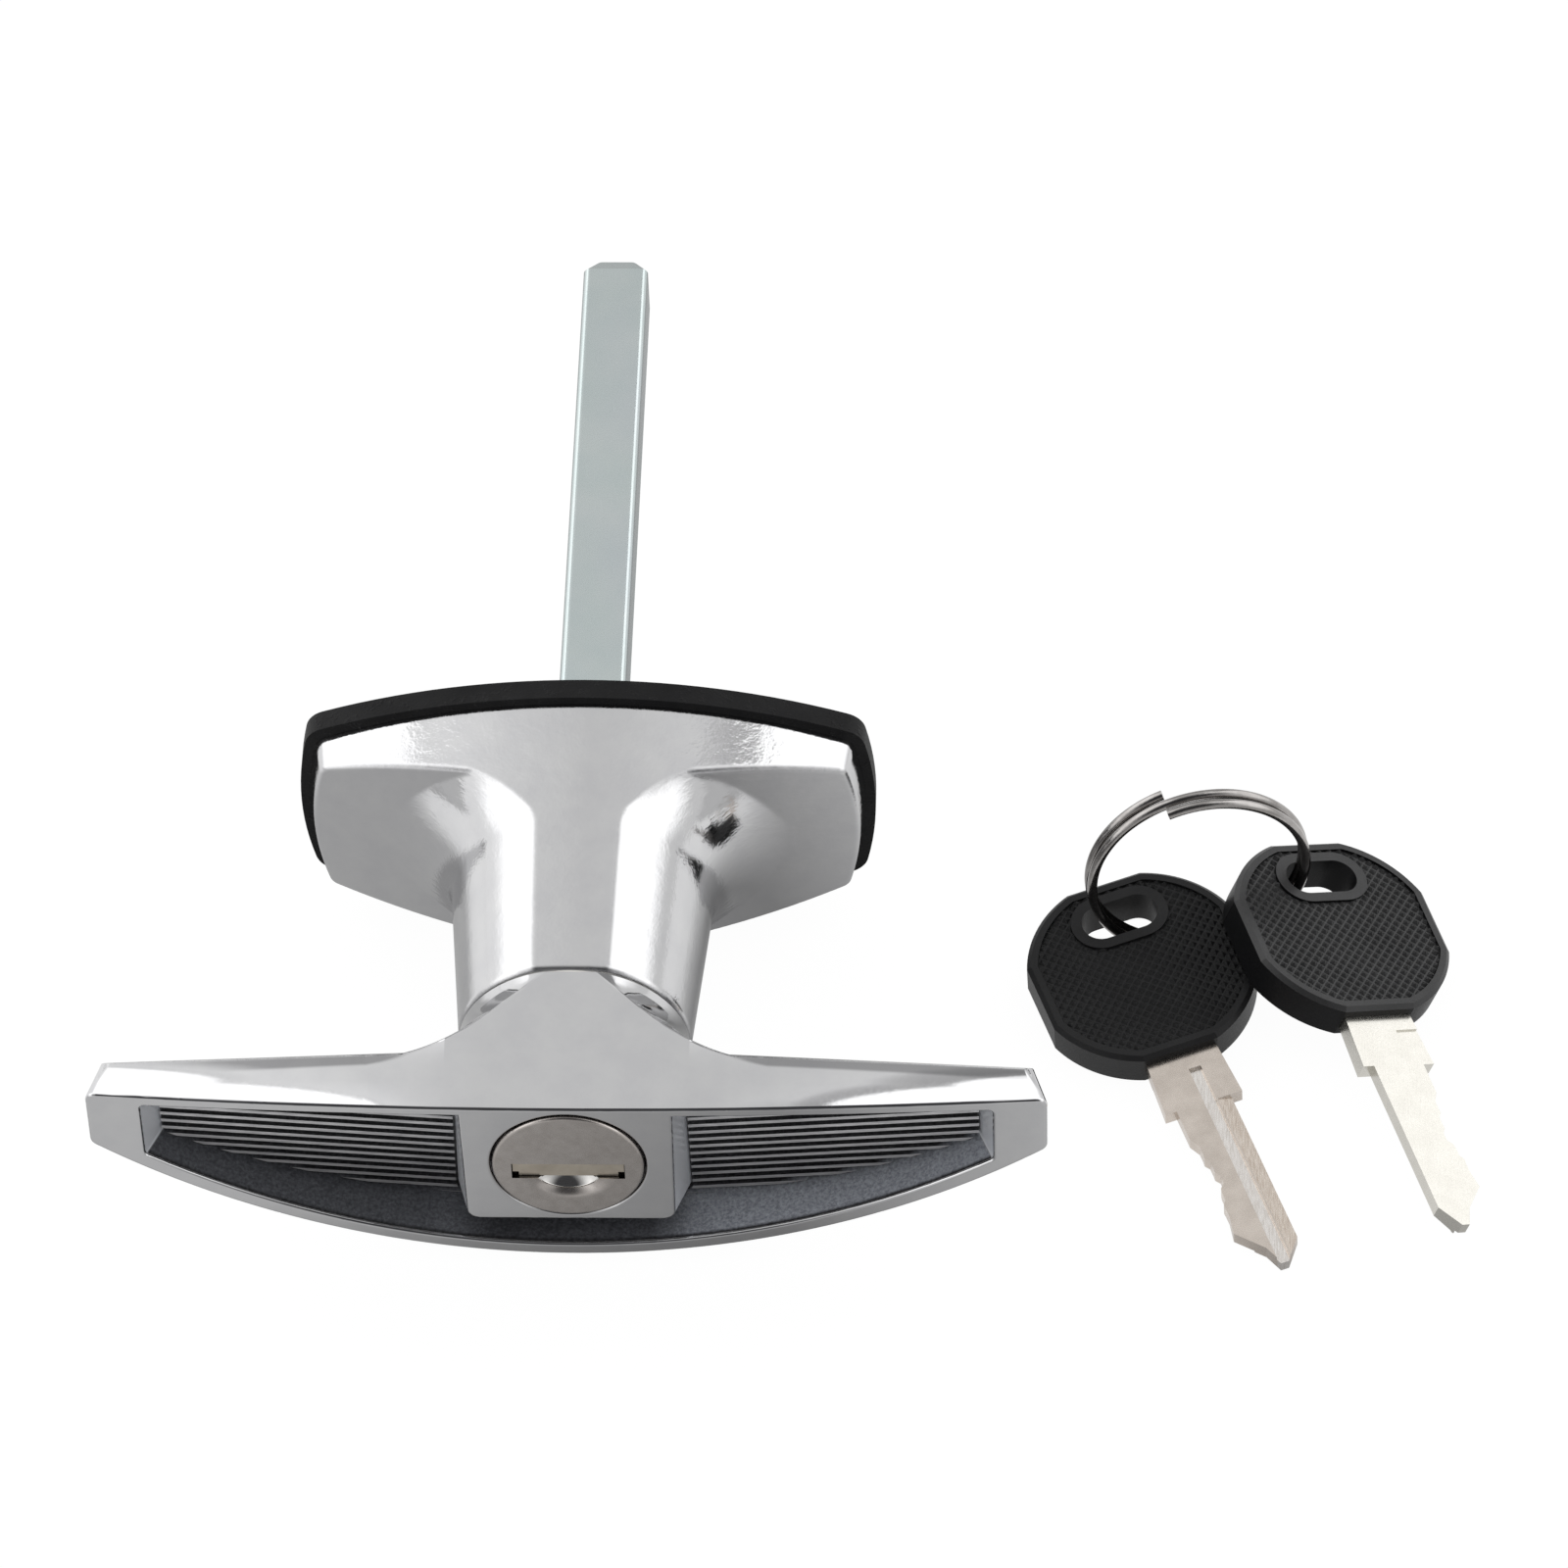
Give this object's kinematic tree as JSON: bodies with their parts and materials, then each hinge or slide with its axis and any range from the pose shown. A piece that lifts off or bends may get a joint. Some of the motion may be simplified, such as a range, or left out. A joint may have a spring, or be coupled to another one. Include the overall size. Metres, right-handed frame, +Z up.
{
  "type": "t-handle lock",
  "caption": "Locking T-handle with a key cylinder in its ribbed bar, a flared neck and base on a rubber gasket, a square drive spindle, and two keys on a split ring.",
  "frame": {"origin": "on the spindle axis, in the plane where the gasket's back meets the door", "axes": "+Y along the spindle into the door, +Z up, +X to the right as seen from the front"},
  "size_m": [0.1598, 0.1427, 0.0368],
  "materials": {
    "chrome": "polished chrome plate on zinc die casting",
    "rubber": "black moulded rubber",
    "nickel": "satin nickel plate",
    "brass": "plain brass strip",
    "steel": "plain spring steel",
    "zinc_plate": "bright zinc plate",
    "nylon": "natural nylon",
    "bow_plastic": "black textured plastic",
    "nickel_silver": "milled nickel silver",
    "ring_steel": "polished steel wire"
  },
  "bodies": {
    "base": {"escutcheon": "chrome", "gasket": "rubber", "thrust_washer": "nylon"},
    "handle": {"handle": "chrome", "stop_washer": "steel", "spring_washer": "steel", "circlip": "steel", "spindle": "zinc_plate", "cross_pin": "steel"},
    "plug": {"lock_plug": "nickel", "wafer_1": "brass", "wafer_2": "brass", "wafer_3": "brass", "wafer_4": "brass", "wafer_5": "brass", "wafer_springs": "steel", "keeper_wafer": "brass", "keeper_spring": "steel", "shutter_pin": "steel", "shutter_spring": "steel"},
    "bolt": {"locking_bolt": "steel"},
    "shutter": {"dust_shutter": "brass"},
    "ring": {"split_ring": "ring_steel"},
    "key_1": {"key_1_bow": "bow_plastic", "key_1_blade": "nickel_silver"},
    "key_2": {"key_2_bow": "bow_plastic", "key_2_blade": "nickel_silver"}
  },
  "joints": [
    {"name": "handle_turn", "type": "hinge", "parent": "base", "child": "handle", "pos_m": [0, 0, 0], "axis": [0, 1, 0], "range_deg": [0, 90]},
    {"name": "plug_turn", "type": "hinge", "parent": "handle", "child": "plug", "pos_m": [0, -0.05, 0], "axis": [0, 1, 0], "range_deg": [0, 90]},
    {"name": "bolt_slide", "type": "slide", "parent": "handle", "child": "bolt", "axis": [1, 0, 0], "range_m": [0, 0.00311]},
    {"name": "shutter_tilt", "type": "hinge", "parent": "plug", "child": "shutter", "pos_m": [0, -0.05745, 0.0011], "axis": [1, 0, 0], "range_deg": [0, 80]},
    {"name": "key_set_lift", "type": "slide", "parent": "base", "child": "ring", "axis": [0, 0, 1], "range_m": [0, 0.06]},
    {"name": "key_1_swing", "type": "hinge", "parent": "ring", "child": "key_1", "pos_m": [0.07223, -0.00889, -0.00494], "axis": [-0.2068, 0.9779, -0.0297], "range_deg": [0, 40]},
    {"name": "key_2_swing", "type": "hinge", "parent": "ring", "child": "key_2", "pos_m": [0.07223, -0.00889, -0.00494], "axis": [0.2068, -0.9779, 0.0297], "range_deg": [0, 60]}
  ],
  "couplings": [
    {"joint": "bolt_slide", "follows": "plug_turn", "m_per_rad": 0.0019807}
  ]
}
